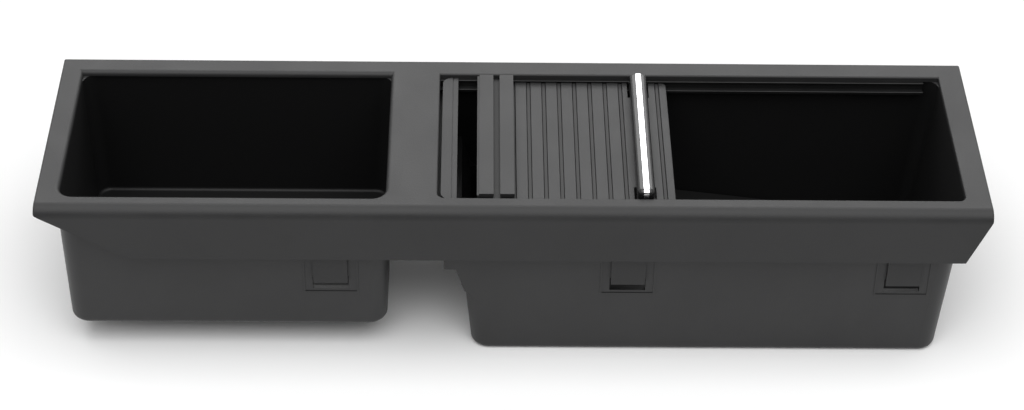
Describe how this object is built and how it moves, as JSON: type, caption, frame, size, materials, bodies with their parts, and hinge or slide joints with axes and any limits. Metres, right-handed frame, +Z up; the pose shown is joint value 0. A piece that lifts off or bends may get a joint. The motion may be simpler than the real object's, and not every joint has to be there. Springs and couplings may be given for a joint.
{
  "type": "center console insert",
  "caption": "Long dark car console insert: an open tray beside a deep well with a slatted sliding blind, a bright pull strip, a skirted bezel and clipped-on tubs.",
  "frame": {"origin": "middle of the insert's length and width, at the underside of the deep well, on which it stands", "axes": "+X along the insert from the tray to the well, +Z up; the front is at -Y"},
  "size_m": [0.4, 0.106, 0.0862],
  "materials": {
    "bezel_plastic": "fine grained satin",
    "tub_plastic": "plain moulded",
    "rail_plastic": "smooth",
    "cross_plastic": "fine grained satin",
    "slat_plastic": "fine grained satin",
    "film_plastic": "smooth",
    "pull_plastic": "gloss",
    "bright_strip": "polished"
  },
  "bodies": {
    "housing": {"bezel_frame": "bezel_plastic", "front_tray": "tub_plastic", "deep_well": "tub_plastic", "well_floor": "tub_plastic", "guide_rail_front": "rail_plastic", "guide_rail_rear": "rail_plastic", "end_strip": "cross_plastic", "guide_bar": "cross_plastic"},
    "blind": {"slat_1": "slat_plastic", "slat_2": "slat_plastic", "slat_3": "slat_plastic", "slat_4": "slat_plastic", "slat_5": "slat_plastic", "slat_6": "slat_plastic", "slat_7": "slat_plastic", "slat_8": "slat_plastic", "pull_carrier": "slat_plastic", "leading_slat": "slat_plastic", "hinge_film": "film_plastic", "pull_bar": "pull_plastic", "pull_strip": "bright_strip"}
  },
  "joints": [
    {"name": "blind_slide", "type": "slide", "parent": "housing", "child": "blind", "axis": [1, 0, 0], "range_m": [-0.043, 0.12]}
  ]
}
